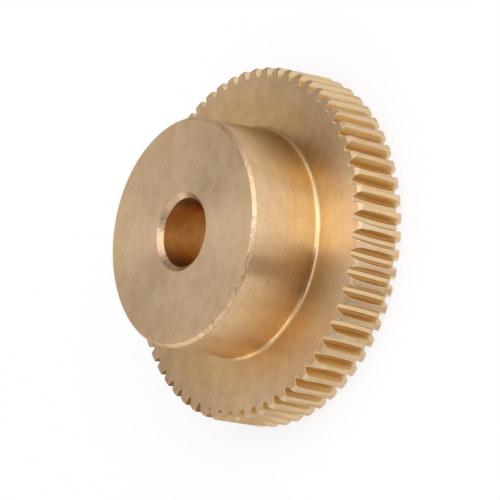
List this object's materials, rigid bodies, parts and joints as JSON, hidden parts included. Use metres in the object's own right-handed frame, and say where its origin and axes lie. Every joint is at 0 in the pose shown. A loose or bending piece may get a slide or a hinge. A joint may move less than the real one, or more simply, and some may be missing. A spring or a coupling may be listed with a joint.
{
  "type": "worm wheel",
  "caption": "Brass worm wheel with hobbed right-hand helical teeth, a plain hub on one side and a central bore.",
  "frame": {"origin": "centre of the plain back face, on the axis of the bore", "axes": "+Z along the bore axis from the back face towards the end of the hub; a gap between two teeth is centred on +X in the middle plane of the rim"},
  "size_m": [0.031, 0.031, 0.0118],
  "materials": {
    "brass": "as turned and hobbed, bare"
  },
  "bodies": {
    "root": {"worm_wheel": "brass"}
  },
  "joints": []
}
